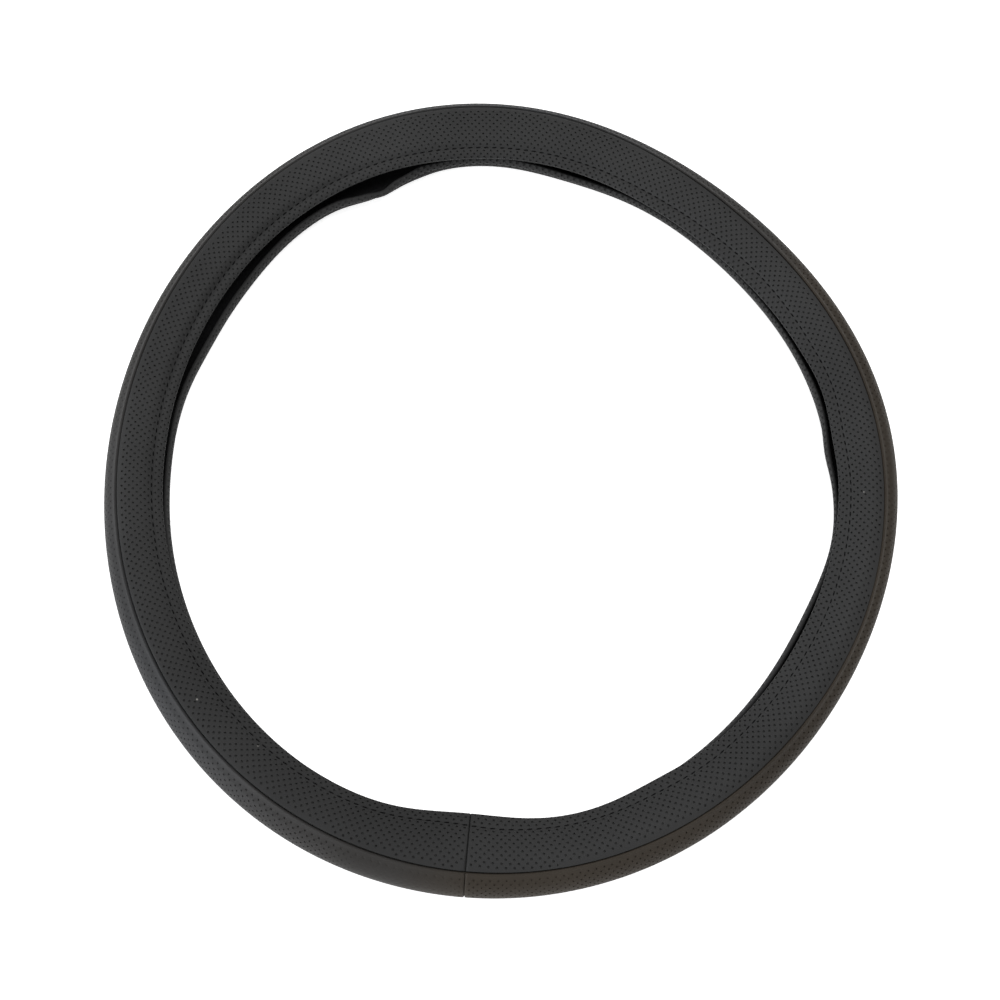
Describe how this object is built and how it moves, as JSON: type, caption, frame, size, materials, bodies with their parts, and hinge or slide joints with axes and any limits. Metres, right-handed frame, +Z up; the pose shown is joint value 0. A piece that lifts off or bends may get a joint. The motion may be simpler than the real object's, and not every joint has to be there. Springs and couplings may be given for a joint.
{
  "type": "steering wheel cover",
  "caption": "Perforated black leather cover for a car's steering wheel: a ring with a C section, sewn from leather strips over a rubber liner, open towards the middle.",
  "frame": {"origin": "On the surface that the cover lies on, in the middle of its footprint.", "axes": "+Z is up, out of the front face, along the ring's axis; +Y is the longer way across the ring, away from the cross seam; +X is to the right seen from the front."},
  "size_m": [0.3808, 0.402, 0.028],
  "materials": {
    "panel_leather": "perforated, fine grain, satin",
    "band_leather": "perforated, fine grain, satin",
    "liner_rubber": "matt, anti-slip",
    "hem_thread": "bonded sewing thread"
  },
  "bodies": {
    "root": {"front_panel": "panel_leather", "rear_panel": "panel_leather", "outer_band": "band_leather", "liner": "liner_rubber", "front_hem_thread": "hem_thread", "rear_hem_thread": "hem_thread"}
  },
  "joints": []
}
